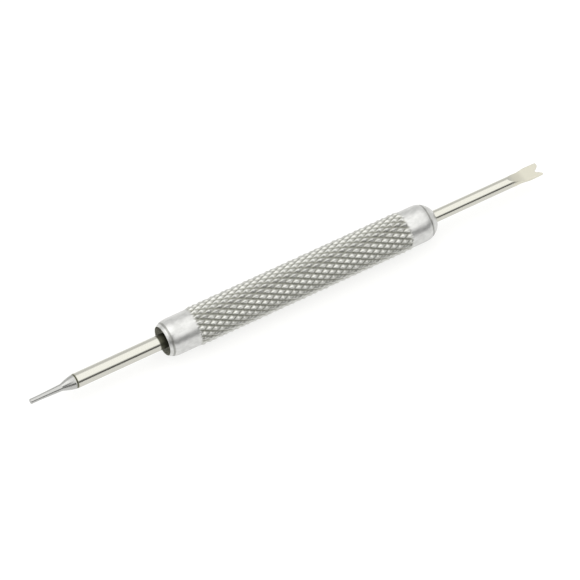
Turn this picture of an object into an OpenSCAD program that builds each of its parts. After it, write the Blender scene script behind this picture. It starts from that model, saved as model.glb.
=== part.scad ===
// Spring bar tool: a knurled metal handle with a replaceable pin point at one end and a
// notched fork blade at the other. Millimetres. X runs along the tool, from the pin point
// (-X) to the fork (+X), +Z is square to the flat of the fork, and the origin is at the
// middle of the tool's length, on its axis.

/* [Handle] */
// Diameter of the plain collars at both ends of the handle
collar_d = 7.5; // [7.2:0.1:7.8]
// Diameter over the crests of the knurled grip
grip_d = 8.0; // [7.9:0.1:9]
// Where the handle ends on the pin side
handle_pin_x = -27.8; // [-30:0.1:-27.6]
// Where the handle ends on the fork side
handle_fork_x = 32.7; // [32.4:0.1:34]
// Where the knurling starts
grip_start_x = -21.6; // [-22:0.1:-16]
// Where the knurling ends
grip_end_x = 26.6; // [20:0.1:27.2]
// Length of the slope from a collar up to the knurl crests
grip_runout = 1.0; // [0.4:0.1:2]
// Distance from the pin-side face back to the start of the collar's straight side
pin_dome_length = 2.2; // [2:0.1:2.4]
// The same distance on the fork side
fork_dome_length = 3.15; // [3:0.05:3.3]

/* [Pin end] */
// How far the bush sits back from the handle's end
bush_recess = 1.0; // [0:0.1:1.5]
// Diameter of the bush's head, which fills the counterbore of the handle
bush_head_d = 5.9; // [5.6:0.1:5.9]
// Length of the bush's head
bush_head_length = 1.5; // [1:0.1:2]
// Outside diameter of the bush's thread
bush_thread_d = 4.92; // [4.6:0.02:4.94]
// Length of the bush's thread
bush_thread_length = 7; // [4:0.5:8]
// Diameter of the pin shank
pin_shank_d = 3.0; // [2.6:0.1:3.2]
// Where the pin shank ends and the pin point's cone begins
seam_x = -47.2; // [-48:0.1:-44]
// Length of the cone between the pin shank and the pin
cone_length = 3.0; // [2:0.1:4]
// Diameter of the pin where it leaves the cone
pin_root_d = 1.4; // [1.2:0.05:1.5]
// Diameter of the pin's straight working end
pin_tip_d = 1.05; // [0.8:0.05:1.1]
// Length of the pin's straight working end
pin_tip_length = 2.0; // [1:0.5:3]
// Outside diameter of the pin point's threaded tail
tail_d = 1.52; // [1.3:0.02:1.54]
// Length of the pin point's threaded tail
tail_length = 4.4; // [3:0.2:6]

/* [Fork end] */
// Diameter of the fork shank's round rod
fork_rod_d = 2.4; // [2:0.1:2.6]
// Length of the fork shank's thread inside the handle
fork_thread_length = 8; // [5:0.5:12]
// Length over which the rod is pressed flat, measured back from the prong tips
blade_length = 7.2; // [5.5:0.1:8]
// Width of the fork blade
blade_w = 3.1; // [2.8:0.1:3.6]
// Thickness of the fork blade at its root
blade_t = 0.56; // [0.4:0.02:0.8]
// Thickness of the fork blade at the prong tips
blade_tip_t = 0.36; // [0.2:0.02:0.4]
// Width of the notch between the prong tips
notch_w = 2.1; // [1.6:0.1:2.2]
// Depth of the notch
notch_depth = 1.1; // [0.8:0.05:1.6]
// Radius of the bottom of the notch
notch_r = 0.5; // [0.3:0.02:0.5]
// How far the notch sits from the blade's centre line, along Y
notch_y = -0.25; // [-0.3:0.05:0.3]

/* [Overall] */
// Length of the whole tool, from the pin's end to the prong tips
overall_length = 114; // [110:0.5:118]
// Radial clearance between a male thread and its hole
thread_clearance = 0.04; // [0.03:0.01:0.06]
// Depth of the thread grooves on the larger thread
thread_depth = 0.3; // [0.2:0.05:0.35]

/* [Hidden] */
$fn = 96;

pin_end_x = -overall_length / 2;
fork_end_x = overall_length / 2;
collar_r = collar_d / 2;
grip_r = grip_d / 2;
edge = 0.15;            // small bevel on turned edges
hole_spare = 0.5;       // depth of a hole past the end of its thread
cut = 1;                // how far a cutting shape runs past the face that it cuts
bush_face_x = handle_pin_x + bush_recess;
bush_neck_x = bush_face_x + bush_head_length;   // where the bush's head meets its thread
bush_end_x = bush_neck_x + bush_thread_length;
blade_root_x = fork_end_x - blade_length;
blade_flat_x = fork_end_x - 3.4;    // where the pressed ramps meet the flat of the blade
flare_start_x = fork_end_x - 5.2;   // where the blade begins to widen
flare_end_x = fork_end_x - 2.5;     // where the blade has its full width
coarse_pitch = 0.8;
fine_pitch = 0.35;
curve_steps = 8;        // straight pieces in each curved outline

// A solid of revolution about X from a closed outline of [x, radius] points
module turned(outline)
    rotate([0, 90, 0]) rotate_extrude() polygon([for (p = outline) [p[1], p[0]]]);

// A plain rod on the X axis from x0 to x1
module rod(x0, x1, d) translate([x0, 0, 0]) rotate([0, 90, 0]) cylinder(h = x1 - x0, d = d);

// A thread drawn as rings: pointed grooves of one pitch each, between x0 and x1
function thread_outline(x0, x1, r, depth, pitch) =
    let (turns = floor((x1 - x0) / pitch))
    [for (i = [0 : turns - 1]) each [
        [x0 + i * pitch, r],
        [x0 + (i + 0.5) * pitch, r],
        [x0 + (i + 0.75) * pitch, r - depth]]];

// Handle: one bar with ball-turned ends, a raised knurled grip and a tapped hole in each end
module handle() {
    dome_pin_x = handle_pin_x + pin_dome_length;
    dome_fork_x = handle_fork_x - fork_dome_length;
    color("gainsboro") difference() {
        intersection() {
            union() {
                rod(dome_pin_x, dome_fork_x, collar_d);
                translate([dome_pin_x, 0, 0]) sphere(r = collar_r);
                translate([dome_fork_x, 0, 0]) sphere(r = collar_r);
                turned([[grip_start_x, 0], [grip_start_x, collar_r],
                    [grip_start_x + grip_runout, grip_r], [grip_end_x - grip_runout, grip_r],
                    [grip_end_x, collar_r], [grip_end_x, 0]]);
            }
            rod(handle_pin_x, handle_fork_x, grip_d + cut);
        }
        // counterbore for the bush's head
        rod(handle_pin_x - cut, bush_neck_x, bush_head_d + 2 * thread_clearance);
        // tapped hole for the bush, drawn at the size of its plain bore
        rod(handle_pin_x, bush_end_x + hole_spare, bush_thread_d + 2 * thread_clearance);
        // tapped hole for the fork shank
        rod(handle_fork_x - fork_thread_length - hole_spare, handle_fork_x + cut,
            fork_rod_d + 2 * thread_clearance);
    }
}

// Bush: a round head set back in the handle's end, a thread behind it and a bore for the shank
module pin_end_bush() {
    head_r = bush_head_d / 2;
    thread_r = bush_thread_d / 2;
    color("dimgray") difference() {
        turned(concat(
            [[bush_face_x, 0], [bush_face_x, head_r - edge], [bush_face_x + edge, head_r],
                [bush_neck_x, head_r]],
            thread_outline(bush_neck_x, bush_end_x, thread_r, thread_depth, coarse_pitch),
            [[bush_end_x, thread_r - thread_depth], [bush_end_x, 0]]));
        rod(bush_face_x - cut, bush_end_x + cut, pin_shank_d);
    }
}

// Pin shank: a straight polished rod with a tapped hole in its outer end
module pin_shank() {
    r = pin_shank_d / 2;
    color("lightyellow") difference() {
        turned([[seam_x, 0], [seam_x, r - edge], [seam_x + edge, r], [bush_end_x, r],
            [bush_end_x, 0]]);
        rod(seam_x - cut, seam_x + tail_length + hole_spare, tail_d + 2 * thread_clearance);
    }
}

// Pin point: a fine pin on a cone that swells to the shank's size, with a threaded tail
module pin_point() {
    cone_x = seam_x - cone_length;
    base_r = pin_shank_d / 2;
    root_r = pin_root_d / 2;
    tip_r = pin_tip_d / 2;
    tail_r = tail_d / 2;
    // the cone's side bulges a little: half straight slope, half a quarter sine
    cone_side = [for (i = [0 : curve_steps])
        let (f = i / curve_steps)
        [cone_x + (cone_length - edge) * f,
            root_r + (base_r - root_r) * (f + sin(90 * f)) / 2]];
    color("silver") turned(concat(
        [[pin_end_x, 0], [pin_end_x, tip_r - edge], [pin_end_x + edge, tip_r],
            [pin_end_x + pin_tip_length, tip_r]],
        cone_side,
        [[seam_x, base_r - edge]],
        thread_outline(seam_x, seam_x + tail_length, tail_r, thread_depth / 2, fine_pitch),
        [[seam_x + tail_length, tail_r - thread_depth / 2], [seam_x + tail_length, 0]]));
}

// One side of the fork blade's plan: a smooth step out from the rod's width to the blade's
function blade_side() =
    let (rod_r = fork_rod_d / 2)
    [for (i = [0 : curve_steps]) [
        flare_start_x + (flare_end_x - flare_start_x) * i / curve_steps,
        rod_r + (blade_w / 2 - rod_r) * (1 - cos(180 * i / curve_steps)) / 2]];

// Fork shank: a round rod whose end is pressed flat, widened and notched
module fork_shank() {
    rod_r = fork_rod_d / 2;
    inner_x = handle_fork_x - fork_thread_length;
    // half thickness: full rod, then a hollow ramp down to the blade, then a slight taper
    ramp = [for (i = [0 : curve_steps]) [
        blade_root_x + (blade_flat_x - blade_root_x) * i / curve_steps,
        blade_t / 2 + (rod_r - blade_t / 2) * (1 - sin(90 * i / curve_steps))]];
    side = concat([[inner_x - cut, rod_r + cut], [blade_root_x, rod_r + cut]], ramp,
        [[fork_end_x, blade_tip_t / 2]]);
    color("ivory") difference() {
        intersection() {
            union() {
                turned(concat([[inner_x, 0]],
                    thread_outline(inner_x, handle_fork_x - cut, rod_r, thread_depth / 2,
                        fine_pitch),
                    [[handle_fork_x - cut, rod_r], [fork_end_x - notch_depth, rod_r],
                        [fork_end_x - notch_depth, 0]]));
                translate([blade_root_x, -blade_w / 2, -blade_t])
                    cube([blade_length, blade_w, 2 * blade_t]);
            }
            // thickness, seen from the side
            rotate([90, 0, 0]) linear_extrude(height = 2 * grip_d, center = true)
                polygon(both_sides(side));
        }
        blade_trim();
        notch();
    }
}

// A closed outline from one half and its mirror image across the X axis
function both_sides(half) = concat(half,
    [for (i = [len(half) - 1 : -1 : 0]) [half[i][0], -half[i][1]]]);

// What is cut from each side of the blade to leave its flared plan
module blade_trim() {
    far = blade_w;
    outline = concat([[blade_root_x - cut, far], [blade_root_x - cut, fork_rod_d / 2]],
        blade_side(), [[fork_end_x + cut, blade_w / 2], [fork_end_x + cut, far]]);
    for (side = [-1, 1]) linear_extrude(height = 2 * grip_d, center = true)
        polygon([for (p = outline) [p[0], side * p[1]]]);
}

// The notch: a V with a round bottom, cut a little to one side
module notch() {
    bottom_x = fork_end_x - notch_depth + notch_r;
    translate([0, notch_y, 0]) linear_extrude(height = 2 * grip_d, center = true) {
        translate([bottom_x, 0]) circle(r = notch_r);
        polygon([[bottom_x, -notch_r], [fork_end_x, -notch_w / 2], [fork_end_x + cut, -notch_w / 2],
            [fork_end_x + cut, notch_w / 2], [fork_end_x, notch_w / 2], [bottom_x, notch_r]]);
    }
}

handle();
pin_end_bush();
pin_shank();
pin_point();
fork_shank();
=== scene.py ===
"""Looks of a spring bar tool: a diamond-knurled handle, a bush with a pin shank and a screw-in
pin point at one end, and a notched fork blade at the other. Everything is in metres, with X
along the tool from the pin point to the fork and the flat of the fork facing up."""

import math

import bpy
import numpy as np
from mathutils import Matrix, Vector


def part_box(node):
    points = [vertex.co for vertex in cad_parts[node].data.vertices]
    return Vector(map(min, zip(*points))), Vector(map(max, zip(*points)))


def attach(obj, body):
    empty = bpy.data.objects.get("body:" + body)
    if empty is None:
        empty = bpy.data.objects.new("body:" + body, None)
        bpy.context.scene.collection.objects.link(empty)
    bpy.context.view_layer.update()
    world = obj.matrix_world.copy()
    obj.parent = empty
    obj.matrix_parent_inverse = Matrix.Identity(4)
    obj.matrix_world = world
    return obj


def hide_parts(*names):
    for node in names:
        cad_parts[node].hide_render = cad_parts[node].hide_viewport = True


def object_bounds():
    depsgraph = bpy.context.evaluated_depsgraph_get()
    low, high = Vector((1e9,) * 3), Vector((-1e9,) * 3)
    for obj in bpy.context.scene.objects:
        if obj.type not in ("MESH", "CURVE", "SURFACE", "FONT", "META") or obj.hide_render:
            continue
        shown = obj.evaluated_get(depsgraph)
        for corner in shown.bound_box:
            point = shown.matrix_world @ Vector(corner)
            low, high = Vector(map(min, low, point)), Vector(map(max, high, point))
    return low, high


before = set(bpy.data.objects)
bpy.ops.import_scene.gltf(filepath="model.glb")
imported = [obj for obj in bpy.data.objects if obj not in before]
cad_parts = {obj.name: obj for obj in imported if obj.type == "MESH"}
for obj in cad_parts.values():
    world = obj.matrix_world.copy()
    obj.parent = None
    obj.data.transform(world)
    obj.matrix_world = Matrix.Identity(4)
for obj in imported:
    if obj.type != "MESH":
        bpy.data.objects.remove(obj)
cad_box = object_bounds()

MM = 0.001


# ---------------------------------------------------------------- camera

SHOT_WIDTH = 111.8 * MM         # width of the view at the tool
CAMERA_DISTANCE = 1.8
SENSOR = 36.0                   # the sensor's width, in millimetres
CAMERA_AZIMUTH = math.radians(-30.7)
CAMERA_ELEVATION = math.radians(50.5)
TOOL_LEFT = 0.54 * MM           # how far left of the view's centre the tool's middle is
TOOL_UP = 1.15 * MM             # and how far above it


def studio_camera():
    """A long lens, looking down on the tool from the pin point's side."""
    a, e = CAMERA_AZIMUTH, CAMERA_ELEVATION
    back = np.array([math.sin(a) * math.cos(e), -math.cos(a) * math.cos(e), math.sin(e)])
    right = np.array([math.cos(a), math.sin(a), 0.0])
    up = np.cross(back, right)
    middle = (np.array(cad_box[0]) + np.array(cad_box[1])) / 2
    data = bpy.data.cameras.new("studio_camera")
    data.sensor_width = SENSOR
    data.lens = SENSOR * CAMERA_DISTANCE / SHOT_WIDTH
    data.clip_start = 0.05
    data.clip_end = 20.0
    camera = bpy.data.objects.new("studio_camera", data)
    bpy.context.collection.objects.link(camera)
    basis = np.eye(4)
    basis[:3, 0], basis[:3, 1], basis[:3, 2] = right, up, back
    basis[:3, 3] = middle + TOOL_LEFT * right - TOOL_UP * up + CAMERA_DISTANCE * back
    camera.matrix_world = Matrix(basis)
    bpy.context.scene.camera = camera


studio_camera()


# ---------------------------------------------------------------- sizes, from the frame

HANDLE_LOW, HANDLE_HIGH = (np.array(c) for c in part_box("handle"))
BUSH_LOW, BUSH_HIGH = (np.array(c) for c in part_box("pin_end_bush"))
SHANK_LOW, SHANK_HIGH = (np.array(c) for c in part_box("pin_shank"))
POINT_LOW, POINT_HIGH = (np.array(c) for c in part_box("pin_point"))
FORK_LOW, FORK_HIGH = (np.array(c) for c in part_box("fork_shank"))

GRIP_R = HANDLE_HIGH[2]         # over the crests of the knurling
COLLAR_R = 3.75 * MM
DOME_PIN = 2.2 * MM             # from the pin-side face back to the collar's straight side
DOME_FORK = 3.15 * MM
GRIP_START = -21.6 * MM
GRIP_END = 26.6 * MM
STARTS = 18                     # helical grooves each way round the grip
KNURL_PITCH = 2.49 * MM         # from one groove to the next along the tool
KNURL_DEPTH = 0.50 * MM
KNURL_RUNOUT = 0.9 * MM
KNURL_EASE = 0.14               # how much the top of each diamond is flattened
CREST_SINK = 0.02 * MM          # how far the average crest stays under the grip's radius
CREST_SPREAD = 0.03 * MM        # how much higher or lower a single diamond may be
SHALLOW = 0.86                  # how deep the right-hand grooves are beside the left-hand ones
CELLS = 12                      # mesh cells from one groove to the next
KNURL_SIDES = STARTS * CELLS
GRAIN = np.random.default_rng(7)
CREASE_R = 3.45 * MM            # a turned line round each domed end
CREASE_IN = math.sqrt(COLLAR_R ** 2 - CREASE_R ** 2)
CREASE_PIN = HANDLE_LOW[0] + DOME_PIN - CREASE_IN
CREASE_FORK = HANDLE_HIGH[0] - DOME_FORK + CREASE_IN
CREASE_WIDTH = 0.12 * MM
CREASE_DEPTH = 0.06 * MM
BORE_GAP = 0.04 * MM            # radial clearance between a male thread and its hole
HEAD_GAP = 0.03 * MM            # and between the bush's head and its counterbore
HOLE_SPARE = 0.5 * MM           # depth of a hole past the end of what it holds
HEAD_R = BUSH_HIGH[2]
HEAD_LENGTH = 1.5 * MM
BUSH_THREAD_R = 2.46 * MM
BUSH_THREAD_DEPTH = 0.3 * MM
BUSH_PITCH = 0.8 * MM
SEEN_TURNS = 4                  # turns of inner thread near the handle's mouth
SHANK_R = SHANK_HIGH[2]
TAIL_R = 0.76 * MM
TAIL_PITCH = 0.35 * MM
TAIL_THREAD_DEPTH = 0.14 * MM
TAIL_HOLE = 4.9 * MM
CONE_LENGTH = 3.0 * MM
PIN_TIP_R = 0.525 * MM
PIN_ROOT_R = 0.70 * MM
PIN_STRAIGHT = 2.0 * MM
SEAM = SHANK_LOW[0]
SEAM_BEVEL = 0.2 * MM           # depth of the V left round the seam by both pieces' bevels
FORK_ROD_R = FORK_HIGH[2]
FORK_PITCH = 0.45 * MM
FORK_THREAD_DEPTH = 0.16 * MM
BLADE_HALF = FORK_HIGH[1]


# ---------------------------------------------------------------- mesh making

def make_piece(name, points, faces, body, node, material):
    """A smooth mesh object from points and lists of corner numbers, riding on its body."""
    mesh = bpy.data.meshes.new(name)
    mesh.from_pydata(points.tolist(), [], faces)
    mesh.polygons.foreach_set("use_smooth", np.ones(len(mesh.polygons), dtype=bool))
    mesh.update()
    piece = bpy.data.objects.new(name, mesh)
    bpy.context.collection.objects.link(piece)
    mesh.materials.append(material)
    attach(piece, body)
    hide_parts(node)
    return piece


def rounded(corners, steps=4, hold=0.03 * MM):
    """The outline through (x, radius, fillet) corners. Each corner becomes the parabola that
    leaves one side and joins the next a fillet's length away, with a point held a little way
    out on each side, so that the flats stay flat under smooth shading."""
    places = np.array([c[:2] for c in corners])
    line = [places[0]]
    for here, (before, after) in enumerate(zip(places[:-2], places[2:]), start=1):
        corner, fillet = places[here], corners[here][2]
        back, on = before - corner, after - corner
        reach = [min(fillet, 0.45 * np.hypot(*side)) for side in (back, on)]
        stay = [min(r + hold, 0.49 * np.hypot(*side)) for r, side in zip(reach, (back, on))]
        back, on = back / np.hypot(*back), on / np.hypot(*on)
        line.append(corner + back * stay[0])
        if fillet > 0:
            t = np.linspace(0, 1, steps + 1)[:, None]
            line.extend(corner + back * reach[0] * (1 - t) ** 2 + on * reach[1] * t ** 2)
        else:
            line.append(corner)
        line.append(corner + on * stay[1])
    line.append(places[-1])
    return np.array(line)


def arc(middle_x, radius, start, end, steps):
    """Points (x, r) of a circle about (middle_x, 0): x = middle - radius cos a and
    r = radius sin a, as a goes from start to end in degrees."""
    a = np.radians(np.linspace(start, end, steps))
    return np.stack([middle_x - radius * np.cos(a), radius * np.sin(a)], axis=1)


def lathe_faces(rows, sides, diagonals=None):
    """Faces between neighbouring rings of a lathed surface: one quad a cell. Where diagonals
    is given, it is +1 or -1 for each cell and the cell is two triangles cut that way, or 0."""
    i, j = np.meshgrid(np.arange(rows - 1), np.arange(sides), indexing="ij")
    k = (j + 1) % sides
    quads = np.stack([i * sides + j, i * sides + k, (i + 1) * sides + k, (i + 1) * sides + j], -1)
    if diagonals is None:
        return quads.reshape(-1, 4).tolist()
    plain = quads[diagonals == 0]
    rising = quads[diagonals > 0]
    falling = quads[diagonals < 0]
    triangles = np.concatenate([
        rising[:, [0, 1, 2]], rising[:, [0, 2, 3]],
        falling[:, [0, 1, 3]], falling[:, [1, 2, 3]]])
    return plain.tolist() + triangles.tolist()


def lathe(x, r, sides, diagonals=None):
    """Points and faces of a closed turned surface. Ring i has its points at angle
    a = 2 pi j / sides, at (x, r cos a, r sin a), where x and r may change with the angle.
    The first and last rings close on a point of the axis."""
    x = np.broadcast_to(x, (len(x), sides))
    r = np.broadcast_to(r, (len(r), sides))
    a = np.arange(sides) * 2 * math.pi / sides
    points = np.stack([x, r * np.cos(a), r * np.sin(a)], axis=-1).reshape(-1, 3)
    faces = lathe_faces(len(x), sides, diagonals)
    first, last = len(points), len(points) + 1
    points = np.concatenate([points, [[x[0].mean(), 0, 0], [x[-1].mean(), 0, 0]]])
    j = np.arange(sides)
    k = (j + 1) % sides
    end = (len(x) - 1) * sides
    faces += np.stack([np.full(sides, first), k, j], -1).tolist()
    faces += np.stack([np.full(sides, last), end + j, end + k], -1).tolist()
    return points, faces


def columns(outline):
    """An outline's x and r as two columns, ready to be spread round the axis."""
    return outline[:, :1], outline[:, 1:]


def thread(x0, x1, r, depth, pitch, sides, rows_a_turn=8, fade=0.5):
    """Rings of a right-hand screw thread between x0 and x1. The radius is r less depth times
    a pointed wave of (x - x0) / pitch - angle / 2 pi, and the groove runs out at both ends."""
    turns = abs(x1 - x0) / pitch
    rows = int(round(turns * rows_a_turn)) + 1
    x = np.linspace(x0, x1, rows)[:, None]
    a = np.arange(sides) / sides
    wave = np.abs(2 * ((x / pitch - a) % 1) - 1)
    groove = np.clip((wave - 0.12) / 0.76, 0, 1)
    from_end = np.minimum(np.abs(x - x0), np.abs(x1 - x)) / (fade * pitch)
    return np.broadcast_to(x, groove.shape), r - depth * groove * np.clip(from_end, 0, 1)


def stack(sides, *parts):
    """Several sets of rings joined into one, each spread to the same number of sides."""
    xs = [np.broadcast_to(x, (len(x), sides)) for x, _ in parts]
    rs = [np.broadcast_to(r, (len(r), sides)) for _, r in parts]
    return np.concatenate(xs), np.concatenate(rs)


# ---------------------------------------------------------------- shader writing

class Signal:
    """A number that changes over a surface: an output socket that Python can do sums with."""

    def __init__(self, paint, socket):
        self.paint = paint
        self.socket = socket

    def _math(self, operation, *values):
        return self.paint.add("ShaderNodeMath", {"operation": operation}, dict(enumerate(values)))

    def __add__(self, other):
        return self._math("ADD", self, other)

    def __sub__(self, other):
        return self._math("SUBTRACT", self, other)

    def __rsub__(self, other):
        return self._math("SUBTRACT", other, self)

    def __mul__(self, other):
        return self._math("MULTIPLY", self, other)

    def __pow__(self, other):
        return self._math("POWER", self, other)

    __radd__ = __add__
    __rmul__ = __mul__

    def size(self):
        return self._math("ABSOLUTE", self)

    def step(self, low, high):
        """0 below low, 1 above high, and a smooth rise between them."""
        settings = {"interpolation_type": "SMOOTHSTEP", "clamp": True}
        inputs = {"Value": self, "From Min": low, "From Max": high}
        return self.paint.add("ShaderNodeMapRange", settings, inputs)


class Sketch:
    """A node tree being drawn, with its coordinates at hand as x, y and z."""

    def __init__(self, tree, coordinates, scale=1.0):
        self.tree = tree
        tree.nodes.clear()
        where = tree.nodes.new("ShaderNodeTexCoord").outputs[coordinates]
        self.where = self.add("ShaderNodeVectorMath", {"operation": "SCALE"},
                              {0: where, "Scale": scale}).socket
        parts = tree.nodes.new("ShaderNodeSeparateXYZ")
        tree.links.new(self.where, parts.inputs[0])
        self.x, self.y, self.z = (Signal(self, parts.outputs[i]) for i in range(3))

    def add(self, kind, settings, inputs, output=0):
        """Any node: its type, its settings, then the values or links of its sockets."""
        node = self.tree.nodes.new(kind)
        for key, value in settings.items():
            setattr(node, key, value)
        for key, value in inputs.items():
            value = value.socket if isinstance(value, Signal) else value
            if isinstance(value, bpy.types.NodeSocket):
                self.tree.links.new(value, node.inputs[key])
            else:
                node.inputs[key].default_value = value
        return Signal(self, node.outputs[output])


class Paint(Sketch):
    """A metal's node tree, with its Object coordinates in millimetres."""

    def __init__(self, name):
        self.material = bpy.data.materials.new(name)
        self.material.use_nodes = True
        super().__init__(self.material.node_tree, "Object", 1 / MM)
        self.radius = (self.y * self.y + self.z * self.z) ** 0.5

    def stretched(self, scale):
        """The place on the surface with each axis multiplied, for a pattern drawn out."""
        return self.add("ShaderNodeVectorMath", {"operation": "MULTIPLY"},
                        {0: self.where, 1: scale}).socket

    def noise(self, scale, detail=3.0, stretch=(1, 1, 1), roughness=0.5):
        """Cloudy noise from 0 to 1, with scale bumps to the millimetre."""
        return self.add("ShaderNodeTexNoise", {"noise_dimensions": "3D"},
                        {"Vector": self.stretched(stretch), "Scale": scale, "Detail": detail,
                         "Roughness": roughness})

    def rings(self, scale, detail=2.0):
        """Noise that changes along X only: the fine lines that a lathe tool leaves."""
        return self.noise(scale, detail, (1, 0.02, 0.02), 0.6)

    def circles(self, scale, detail=2.0):
        """Noise that changes with the distance from the axis only: lines on a faced end."""
        place = self.add("ShaderNodeCombineXYZ", {}, {0: self.radius}).socket
        return self.add("ShaderNodeTexNoise", {"noise_dimensions": "3D"},
                        {"Vector": place, "Scale": scale, "Detail": detail})

    def mix(self, share, low, high):
        """A colour that goes from low to high as share goes from 0 to 1."""
        return self.add("ShaderNodeMix", {"data_type": "RGBA"},
                        {"Factor": share, 6: low, 7: high}, output=2)

    def metal(self, colour, roughness, height, metallic=1.0):
        """Finishes the material: height, in millimetres, becomes its surface relief."""
        bump = self.add("ShaderNodeBump", {}, {"Strength": 1.0, "Distance": MM, "Height": height})
        inputs = {"Base Color": colour, "Roughness": roughness, "Metallic": metallic,
                  "Normal": bump}
        shader = self.add("ShaderNodeBsdfPrincipled", {}, inputs)
        out = self.tree.nodes.new("ShaderNodeOutputMaterial")
        self.tree.links.new(shader.socket, out.inputs["Surface"])
        return self.material


# ---------------------------------------------------------------- metals

def grip_metal():
    """Satin nickel on the collars, a little cloudy and with fine lathe lines. On the knurling
    the crests are rubbed bright and the grooves are painted darker and warmer, as shade. The
    turned lines are darkened with painted shade, and the counterbore at the pin end is
    dulled: rougher, and a little darker and warmer with painted shade."""
    p = Paint("handle_metal")
    groove_bottom = (GRIP_R - KNURL_DEPTH) / MM
    # painted shade: darker and warmer towards the bottom of the knurling's grooves
    groove_shade = 1 - p.radius.step(groove_bottom + 0.02, groove_bottom + 0.30)
    half_grip = (GRIP_END - GRIP_START) / 2 / MM
    on_grip = (p.x - (GRIP_START + GRIP_END) / 2 / MM).size().step(half_grip, half_grip - 0.8)
    groove = groove_shade * on_grip
    cloud = p.noise(1.1, 5.0, (0.6, 1, 1), 0.65)
    plain = p.mix(cloud.step(0.35, 0.65), (0.59, 0.59, 0.58, 1), (0.69, 0.69, 0.68, 1))
    rubbed = p.mix(on_grip, plain.socket, (0.63, 0.63, 0.602, 1))
    # the colour of the painted shade in the grooves
    metal = p.mix(groove, rubbed.socket, (0.29, 0.29, 0.252, 1))
    # painted shade along the turned line round each domed end
    crease_shade = 0
    for crease in (CREASE_PIN, CREASE_FORK):
        crease_shade = 1 - (p.x - crease / MM).size().step(0.10, 0.28) + crease_shade
    crease_shaded = p.mix(0.6 * crease_shade, metal.socket, (0.16, 0.16, 0.14, 1))
    bore = HEAD_R / MM
    # painted shade in the counterbore and bore at the pin end: a slightly darker, warmer colour
    bore_shade = (1 - p.radius.step(bore + 0.04, bore + 0.10)) * (1 - p.x.step(-1.0, 1.0))
    colour = p.mix(bore_shade, crease_shaded.socket, (0.60, 0.60, 0.54, 1))
    lines = p.rings(26.0, 3.0)
    specks = p.noise(9.0, 2.0)
    roughness = 0.30 + 0.10 * lines + 0.06 * specks - 0.08 * on_grip + 0.16 * groove + 0.2 * bore_shade
    relief = 0.0035 * lines + 0.002 * specks
    return p.metal(colour, roughness, relief)


def bush_metal():
    """Dark steel, faced on the lathe: a low sheen with fine circles round the shank, and
    lighter in patches round the rim."""
    p = Paint("bush_metal")
    lines = p.circles(14.0)
    cloud = p.noise(1.2, 2.0)
    rim = HEAD_R / MM
    rim_lighter = p.radius.step(rim - 0.35, rim) * cloud
    black = p.mix(cloud, (0.10, 0.10, 0.075, 1), (0.17, 0.17, 0.14, 1))
    colour = p.mix(rim_lighter, black.socket, (0.28, 0.28, 0.26, 1))
    return p.metal(colour, 0.42 + 0.14 * lines, 0.003 * lines, metallic=0.35)


def seam_shade(p, colour, seam, reach):
    """Darkens a colour with painted shade within reach of a seam, both in millimetres. Gives back
    the colour and how near the seam each place is, from 0 to 1."""
    near = 1 - (p.x - seam).size().step(0.35 * reach, reach)
    return p.mix(near, colour.socket, (0.26, 0.26, 0.20, 1)), near


def nickel(name, warm, rough, blade_from=None):
    """Polished nickel plate with faint marks drawn along the rod. Past blade_from, in
    millimetres along X, it is ground across instead, softer and paler. A rod with no blade has
    painted shade in its seam with the pin point, and a dark band of painted shade where it
    enters the handle."""
    p = Paint(name)
    cloud = p.noise(0.35, 3.0, (0.4, 1, 1))
    drawn = p.noise(7.0, 3.0, (0.03, 1, 1))
    low = tuple(0.93 * c for c in warm) + (1,)
    colour = p.mix(cloud, low, warm + (1,))
    roughness = rough + 0.05 * drawn + 0.03 * cloud
    relief = 0.0012 * drawn
    if blade_from is None:
        # painted shade in the seam with the pin point
        colour, near = seam_shade(p, colour, SEAM / MM, 0.28)
        mouth = HANDLE_LOW[0] / MM
        # painted shade on the rod just before it enters the handle
        root_shade = p.x.step(mouth - 1.30, mouth - 1.0)
        colour = p.mix(root_shade, colour.socket, (0.085, 0.085, 0.062, 1))
        roughness = roughness + 0.3 * near + 0.25 * root_shade
    else:
        blade = p.x.step(blade_from, blade_from + 1.6)
        across = p.noise(22.0, 2.0, (1, 0.05, 0.05))
        colour = p.mix(blade, colour.socket, (0.68, 0.66, 0.565, 1))
        roughness = roughness + blade * (0.16 + 0.12 * across)
        relief = relief + blade * across * 0.004
    return p.metal(colour, roughness, relief)


def point_metal():
    """Hardened steel ground on a wheel: neutral grey with tight rings round the cone and pin."""
    p = Paint("point_steel")
    lines = p.rings(18.0, 3.0)
    cloud = p.noise(0.8, 3.0)
    plain = p.mix(cloud, (0.42, 0.42, 0.412, 1), (0.50, 0.50, 0.488, 1))
    # painted shade in the seam with the shank
    colour, near = seam_shade(p, plain, SEAM / MM, 0.28)
    return p.metal(colour, 0.18 + 0.12 * lines + 0.2 * near, 0.003 * lines)


# ---------------------------------------------------------------- handle

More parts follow.
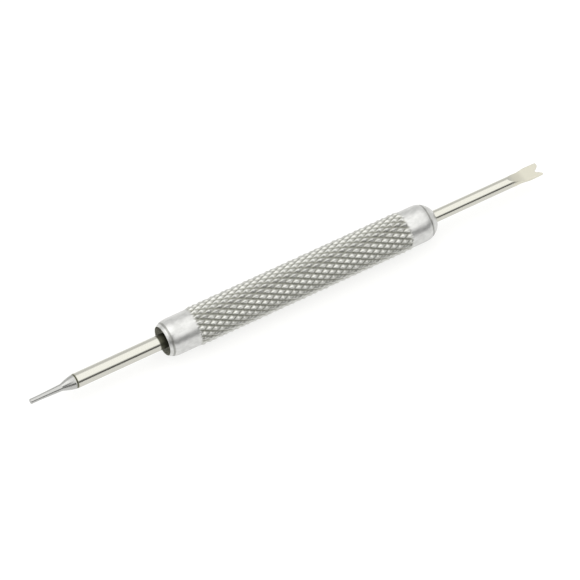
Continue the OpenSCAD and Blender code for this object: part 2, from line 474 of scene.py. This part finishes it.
def knurled_grip():
    """Rings of the diamond knurling. Each family of grooves gives a height, 0 in its groove and
    1 midway to the next, and the right-hand family is cut less deep. The smaller of the two,
    with its top eased, carries the radius from the root to the crest. Towards the collars the
    relief fades to the collar's radius."""
    rows = int(round((GRIP_END - GRIP_START) / KNURL_PITCH * CELLS))
    k = np.arange(rows + 1)[:, None]
    j = np.arange(KNURL_SIDES)[None, :]
    u, v = (j + k) / CELLS, (j - k) / CELLS
    right_hand, left_hand = (1 - np.abs(2 * (w % 1) - 1) for w in (u, v))
    height = np.minimum(left_hand, 1 - SHALLOW * (1 - right_hand))
    height = height * (1 - KNURL_EASE * height ** 3) / (1 - KNURL_EASE)
    diamond = np.floor(u + v).astype(int) % 41 * 53 + np.floor(u - v).astype(int) % 53
    uneven = GRAIN.uniform(-CREST_SPREAD, CREST_SPREAD, 41 * 53)[diamond]
    x = np.linspace(GRIP_START, GRIP_END, rows + 1)[:, None]
    inward = np.clip(np.minimum(x - GRIP_START, GRIP_END - x) / KNURL_RUNOUT, 0, 1)
    fade = inward * inward * (3 - 2 * inward)
    rise = GRIP_R - CREST_SINK - COLLAR_R
    r = COLLAR_R + fade * (rise - KNURL_DEPTH * (1 - height) + uneven * height)
    return x, np.minimum(r, GRIP_R)


def knurl_diagonals(rows_before, rows, rows_after):
    """Which way each cell is cut in two, so that every crease of the knurling is an edge."""
    half = CELLS // 2
    i, j = np.meshgrid(np.arange(rows - 1), np.arange(KNURL_SIDES), indexing="ij")
    cut = np.where((i + j + 1) % half == 0, -1, 1)
    plain = [np.zeros((n, KNURL_SIDES), int) for n in (rows_before, rows_after)]
    return np.concatenate([plain[0], cut, plain[1]])


def dome(face_x, middle_x, steps=22):
    """Half a profile of a ball-turned end, from its face to the collar's straight side, with a
    fine turned line where the radius passes the crease's."""
    start = math.degrees(math.acos(abs(middle_x - face_x) / COLLAR_R))
    line = arc(0, COLLAR_R, start, 90, steps)
    crease = np.exp(-((line[:, 0] + CREASE_IN) / CREASE_WIDTH) ** 2)
    line *= 1 - CREASE_DEPTH / COLLAR_R * crease[:, None]
    line[:, 0] = middle_x + np.sign(middle_x - face_x) * line[:, 0]
    return line


def build_handle():
    face_pin, face_fork = HANDLE_LOW[0], HANDLE_HIGH[0]
    dome_pin = dome(face_pin, face_pin + DOME_PIN, 40)
    dome_fork = dome(face_fork, face_fork - DOME_FORK, 50)[::-1]
    hole_r = BUSH_THREAD_R + BORE_GAP
    counterbore_r = HEAD_R + HEAD_GAP
    step_x = BUSH_LOW[0] + HEAD_LENGTH
    hole_end = BUSH_HIGH[0] + HOLE_SPARE
    thread_end = step_x + SEEN_TURNS * BUSH_PITCH
    socket = rounded([(hole_end, 0, 0), (hole_end, hole_r, 0.05 * MM), (thread_end, hole_r, 0)])
    inner = thread(thread_end, step_x + 0.05 * MM, hole_r, -0.22 * MM, BUSH_PITCH, KNURL_SIDES)
    mouth = rounded([
        (step_x, hole_r + 0.05 * MM, 0), (step_x, counterbore_r, 0.03 * MM),
        (face_pin, counterbore_r, 0.02 * MM), tuple(dome_pin[0]) + (0.0,),
        tuple(dome_pin[1]) + (0.0,)], 3, 0.015 * MM)[:-1]
    grip_x, grip_r = knurled_grip()
    fork_hole = FORK_ROD_R + BORE_GAP
    hole_in = FORK_LOW[0] - HOLE_SPARE
    fork_mouth = rounded([
        tuple(dome_fork[-2]) + (0.0,), tuple(dome_fork[-1]) + (0.04 * MM,),
        (face_fork, fork_hole, 0.06 * MM), (hole_in, fork_hole, 0.05 * MM), (hole_in, 0, 0)])[1:]
    before = [columns(socket), inner, columns(mouth), columns(dome_pin[1:])]
    after = [columns(dome_fork[:-1]), columns(fork_mouth)]
    x, r = stack(KNURL_SIDES, *before, (grip_x, grip_r), *after)
    n_before = sum(len(part[0]) for part in before)
    cuts = knurl_diagonals(n_before, len(grip_x), len(x) - n_before - len(grip_x))
    points, faces = lathe(x, r, KNURL_SIDES, cuts)
    return make_piece("knurled_handle", points, faces, "handle", "handle",
                      grip_metal())


# ---------------------------------------------------------------- pin end

def build_bush():
    sides = 96
    edge = 0.12 * MM
    face, end = BUSH_LOW[0], BUSH_HIGH[0]
    neck = face + HEAD_LENGTH
    front = rounded([
        (end, SHANK_R, 0), (face, SHANK_R, 0.08 * MM), (face, HEAD_R, edge),
        (neck, HEAD_R, 0.05 * MM), (neck, BUSH_THREAD_R, 0.03 * MM),
        (neck + 0.1 * MM, BUSH_THREAD_R, 0)])
    screw = thread(neck + 0.15 * MM, end - 0.1 * MM, BUSH_THREAD_R, BUSH_THREAD_DEPTH,
                   BUSH_PITCH, sides)
    back = rounded([
        (end - 0.05 * MM, BUSH_THREAD_R, 0),
        (end, BUSH_THREAD_R - BUSH_THREAD_DEPTH, 0.05 * MM), (end, SHANK_R, 0)])
    x, r = stack(sides, columns(front), screw, columns(back))
    points, faces = lathe(x, r, sides)
    make_piece("pin_end_bush_turned", points, faces, "pin_holder", "pin_end_bush",
               bush_metal())


def build_shank():
    sides = 96
    hole = TAIL_R + BORE_GAP
    inner = SEAM + TAIL_HOLE
    end = SHANK_HIGH[0]
    outline = rounded([
        (inner, 0, 0), (inner, hole, 0.05 * MM), (SEAM, hole, 0.05 * MM),
        (SEAM, SHANK_R - SEAM_BEVEL, 0.02 * MM), (SEAM + 0.6 * SEAM_BEVEL, SHANK_R, 0.03 * MM),
        (end, SHANK_R, 0.1 * MM), (end, 0, 0)])
    points, faces = lathe(*columns(outline), sides)
    make_piece("pin_shank_rod", points, faces, "pin_holder", "pin_shank",
               nickel("shank_plating", (0.62, 0.612, 0.56), 0.12))


def build_point():
    sides = 72
    tip, end = POINT_LOW[0], POINT_HIGH[0]
    foot = SEAM - CONE_LENGTH
    f = np.linspace(0, 1, 24)
    swell = (f + np.sin(f * math.pi / 2)) / 2
    cone = np.stack([foot + (CONE_LENGTH - 0.1 * MM) * f,
                     PIN_ROOT_R + (SHANK_R - 0.03 * MM - PIN_ROOT_R) * swell], axis=1)
    front = rounded([
        (tip, 0, 0), (tip, PIN_TIP_R, 0.12 * MM), (tip + PIN_STRAIGHT, PIN_TIP_R, 0.3 * MM),
        tuple(cone[0]) + (0.25 * MM,), tuple(cone[1]) + (0,)])[:-1]
    shoulder = rounded([
        tuple(cone[-2]) + (0,), tuple(cone[-1]) + (0.03 * MM,),
        (SEAM, SHANK_R - SEAM_BEVEL, 0.02 * MM), (SEAM, TAIL_R - 0.1 * MM, 0.04 * MM),
        (SEAM + 0.25 * MM, TAIL_R - 0.1 * MM, 0.02 * MM), (SEAM + 0.35 * MM, TAIL_R, 0)])
    screw = thread(SEAM + 0.38 * MM, end - 0.2 * MM, TAIL_R, TAIL_THREAD_DEPTH, TAIL_PITCH,
                   sides, 6)
    back = rounded([(end - 0.15 * MM, TAIL_R, 0), (end, TAIL_R - 0.15 * MM, 0.03 * MM),
                    (end, 0, 0)])
    x, r = stack(sides, columns(front), columns(cone[1:-1]), columns(shoulder), screw,
                 columns(back))
    points, faces = lathe(x, r, sides)
    make_piece("pin_point_ground", points, faces, "pin_point", "pin_point",
               point_metal())


# ---------------------------------------------------------------- fork end

BLADE_ROOT = FORK_HIGH[0] - 7.2 * MM
BLADE_FLAT = FORK_HIGH[0] - 3.4 * MM
FLARE_START = FORK_HIGH[0] - 5.2 * MM
FLARE_END = FORK_HIGH[0] - 2.5 * MM
BLADE_HALF_T = 0.28 * MM        # half the blade's thickness at its root
TIP_HALF_T = 0.18 * MM          # and at the prong tips
NOTCH_HALF_W = 1.05 * MM
NOTCH_R = 0.50 * MM
NOTCH_DEPTH = 1.1 * MM
NOTCH_Y = -0.25 * MM            # the notch is cut a little to one side
NOTCH_BOTTOM = FORK_HIGH[0] - NOTCH_DEPTH + NOTCH_R     # the middle of its round bottom
PRONG_CORNER = 0.10 * MM        # how far in from each side the prong ends are eased
PRONG_EASE = 0.05 * MM          # and by how much
PRESSED_BELOW = 0.72 * FORK_ROD_R   # the half thickness under which the top is spaced evenly
PRESSED_EASE = 0.12 * MM


def half_width(x):
    """The rod's radius, then a cosine step out to half the blade's width."""
    f = np.clip((x - FLARE_START) / (FLARE_END - FLARE_START), 0, 1)
    return FORK_ROD_R + (BLADE_HALF - FORK_ROD_R) * (1 - np.cos(math.pi * f)) / 2


def half_thickness(x):
    """The rod's radius, then a quarter sine down to the blade, then a straight taper."""
    f = np.clip((x - BLADE_ROOT) / (BLADE_FLAT - BLADE_ROOT), 0, 1)
    g = np.clip((x - BLADE_FLAT) / (FORK_HIGH[0] - BLADE_FLAT), 0, 1)
    ramp = BLADE_HALF_T + (FORK_ROD_R - BLADE_HALF_T) * (1 - np.sin(f * math.pi / 2))
    return ramp - (BLADE_HALF_T - TIP_HALF_T) * g


def notch_line(y):
    """Where the blade ends at each y: a round-bottomed V about NOTCH_Y, then the flat prong
    ends with their outer corners eased."""
    off = np.abs(y - NOTCH_Y)
    bottom = NOTCH_BOTTOM - np.sqrt(np.clip(NOTCH_R ** 2 - off ** 2, 0, None))
    slope = (FORK_HIGH[0] - NOTCH_BOTTOM) / (NOTCH_HALF_W - NOTCH_R)
    side = NOTCH_BOTTOM + (off - NOTCH_R) * slope
    end = np.where(off < NOTCH_R, bottom, np.minimum(side, FORK_HIGH[0]))
    corner = np.clip((np.abs(y) - (BLADE_HALF - PRONG_CORNER)) / PRONG_CORNER, 0, 1)
    return end - PRONG_EASE * corner ** 2


def blade_rings(x, quarter):
    """Rings of the rod and blade: a circle of the half width, cut flat at the half thickness.
    Half of each quarter's points climb the round edge, and the rest cross the top, on the
    circle where the rod is round and evenly spaced where it has been pressed flat."""
    w, h = half_width(x)[:, None], half_thickness(x)[:, None]
    corner = np.minimum(math.pi / 4, np.arcsin(np.clip(h / w, 0, 1)))
    f = np.arange(quarter + 1) / quarter
    climb = np.clip(2 * f, 0, 1)
    cross = np.clip(2 * f - 1, 0, 1)
    angle = corner * climb + (math.pi / 2 - corner) * cross
    pressed = np.clip((PRESSED_BELOW - h) / PRESSED_EASE, 0, 1) * (cross > 0)
    y = pressed * w * np.cos(corner) * (1 - cross) + (1 - pressed) * w * np.cos(angle)
    z = np.minimum(w * np.sin(angle), h)
    # mirrored across the top, then the upper half across the blade's plane
    y, z = np.concatenate([y, -y[:, -2::-1]], 1), np.concatenate([z, z[:, -2::-1]], 1)
    return np.concatenate([y, y[:, -2:0:-1]], 1), np.concatenate([z, -z[:, -2:0:-1]], 1)


def notched_end(x, y, z):
    """Rings from the last one of the blade, at x, out to the notched end. Each point runs
    straight along X to the notch line while the blade thins, and the last edge is eased."""
    share = np.array([0.15, 0.3, 0.45, 0.6, 0.72, 0.84, 0.92, 0.96, 0.985, 1.0])[:, None]
    end_x = x + share * (notch_line(y)[None, :] - x)
    thin = half_thickness(end_x) / half_thickness(x)
    ease = 1 - 0.16 * np.clip((share - 0.96) / 0.04, 0, 1) ** 2
    return end_x, np.broadcast_to(y, end_x.shape), z * thin * ease


def end_wall(base, sides):
    """Faces that close the last ring, whose first point is number base: each joins the top
    edge to the bottom edge at the same place across."""
    k = np.arange(sides // 2)
    top, bottom = base + k, base + (sides - k) % sides
    quads = np.stack([bottom, top, base + k + 1, base + sides - k - 1], -1)
    return [tuple(dict.fromkeys(quad)) for quad in quads.tolist()]


def build_fork():
    quarter = 40
    sides = 4 * quarter
    inner = FORK_LOW[0]
    thread_end = HANDLE_HIGH[0] - 1.0 * MM
    back = rounded([(inner, 0, 0), (inner, FORK_ROD_R - 0.15 * MM, 0.03 * MM),
                    (inner + 0.15 * MM, FORK_ROD_R, 0)])
    screw = thread(inner + 0.2 * MM, thread_end, FORK_ROD_R, FORK_THREAD_DEPTH, FORK_PITCH,
                   sides, 6)
    turned_x, turned_r = stack(sides, columns(back), screw)
    a = np.arange(sides) * 2 * math.pi / sides
    rod = [thread_end + 0.05 * MM, thread_end + 0.1 * MM, BLADE_ROOT - 2 * MM]
    ramp = np.linspace(BLADE_ROOT - 0.1 * MM, FLARE_END + 0.3 * MM, 70)
    x = np.concatenate([rod, ramp])
    y, z = blade_rings(x, quarter)
    end_x, end_y, end_z = notched_end(x[-1], y[-1], z[-1])
    xs = np.concatenate([turned_x, np.broadcast_to(x[:, None], y.shape), end_x])
    ys = np.concatenate([turned_r * np.cos(a), y, end_y])
    zs = np.concatenate([turned_r * np.sin(a), z, end_z])
    points = np.stack([xs, ys, zs], -1).reshape(-1, 3)
    j = np.arange(sides)
    cap = np.stack([np.full(sides, len(points)), (j + 1) % sides, j], -1)
    faces = lathe_faces(len(xs), sides) + cap.tolist() + end_wall(len(points) - sides, sides)
    points = np.concatenate([points, [[inner, 0, 0]]])
    make_piece("fork_blade_shank", points, faces, "fork_blade", "fork_shank",
               nickel("fork_plating", (0.62, 0.612, 0.555), 0.13, BLADE_ROOT / MM))


build_handle()
build_bush()
build_shank()
build_point()
build_fork()


# ---------------------------------------------------------------- studio

TENT = 1.50                     # brightness of the tent overhead
BACK_GREY = 0.85                # low down behind the tool
FRONT_DIM = 0.14                # low down in front of it
OPENING = (-0.45, -0.53, 0.72)  # which way the dark opening lies from the tool
FLOOR_GLOW = 0.76
FLOOR_HALF = 3.0                # half the width of the floor


def softbox(name, place, towards, size, power):
    """A rectangular area light at place, facing towards, sized (width, height)."""
    data = bpy.data.lights.new(name, "AREA")
    data.shape = "RECTANGLE"
    data.size, data.size_y = size
    data.energy = power
    lamp = bpy.data.objects.new(name, data)
    bpy.context.collection.objects.link(lamp)
    aim = np.array(towards, float) - np.array(place, float)
    lamp.location = place
    lamp.rotation_euler = Vector(aim).to_track_quat("-Z", "Y").to_euler()


def studio_floor():
    """A plain pale floor that the knurling rests on: a white sheet that glows a little, as on a
    light table, so that the tool's shadow stays faint."""
    half = FLOOR_HALF
    z = cad_box[0][2]
    mesh = bpy.data.meshes.new("studio_floor")
    corners = [(-half, -half, z), (half, -half, z), (half, half, z), (-half, half, z)]
    mesh.from_pydata(corners, [], [(0, 1, 2, 3)])
    floor = bpy.data.objects.new("studio_floor", mesh)
    bpy.context.collection.objects.link(floor)
    paint = bpy.data.materials.new("pale_floor")
    paint.use_nodes = True
    shader = paint.node_tree.nodes["Principled BSDF"]
    settings = {"Base Color": (0.28, 0.28, 0.278, 1), "Roughness": 0.9, "Specular IOR Level": 0.1,
                "Emission Color": (1, 1, 0.99, 1), "Emission Strength": FLOOR_GLOW}
    for name, value in settings.items():
        shader.inputs[name].default_value = value
    mesh.materials.append(paint)


def studio_air():
    """A white tent of light: bright overhead, grey low down behind the tool, and open and dim
    low down in front of it, so that a polished rod shows a dark line above its lower edge. A
    dark patch stands for the opening that the camera looks through."""
    world = bpy.data.worlds.new("studio_air")
    world.use_nodes = True
    sky = Sketch(world.node_tree, "Generated")
    behind = BACK_GREY + (TENT - BACK_GREY) * sky.z.step(0.66, 0.86)
    front = FRONT_DIM + (TENT - FRONT_DIM) * sky.z.step(0.33, 0.66)
    side = sky.y.step(-0.55, -0.25)
    tent = front + side * (behind - front)
    towards_opening = sky.x * OPENING[0] + sky.y * OPENING[1] + sky.z * OPENING[2]
    strength = tent * (1 - 0.9 * towards_opening.step(0.93, 0.975))
    glow = sky.add("ShaderNodeBackground", {},
                   {"Color": (1.0, 1.0, 0.985, 1), "Strength": strength})
    out = sky.tree.nodes.new("ShaderNodeOutputWorld")
    sky.tree.links.new(glow.socket, out.inputs["Surface"])
    bpy.context.scene.world = world


studio_floor()
studio_air()
softbox("key_left", (-0.9, 0.1, 0.9), (0, 0, 0), (1.6, 1.6), 4.0)
bpy.context.scene.view_settings.view_transform = "Standard"
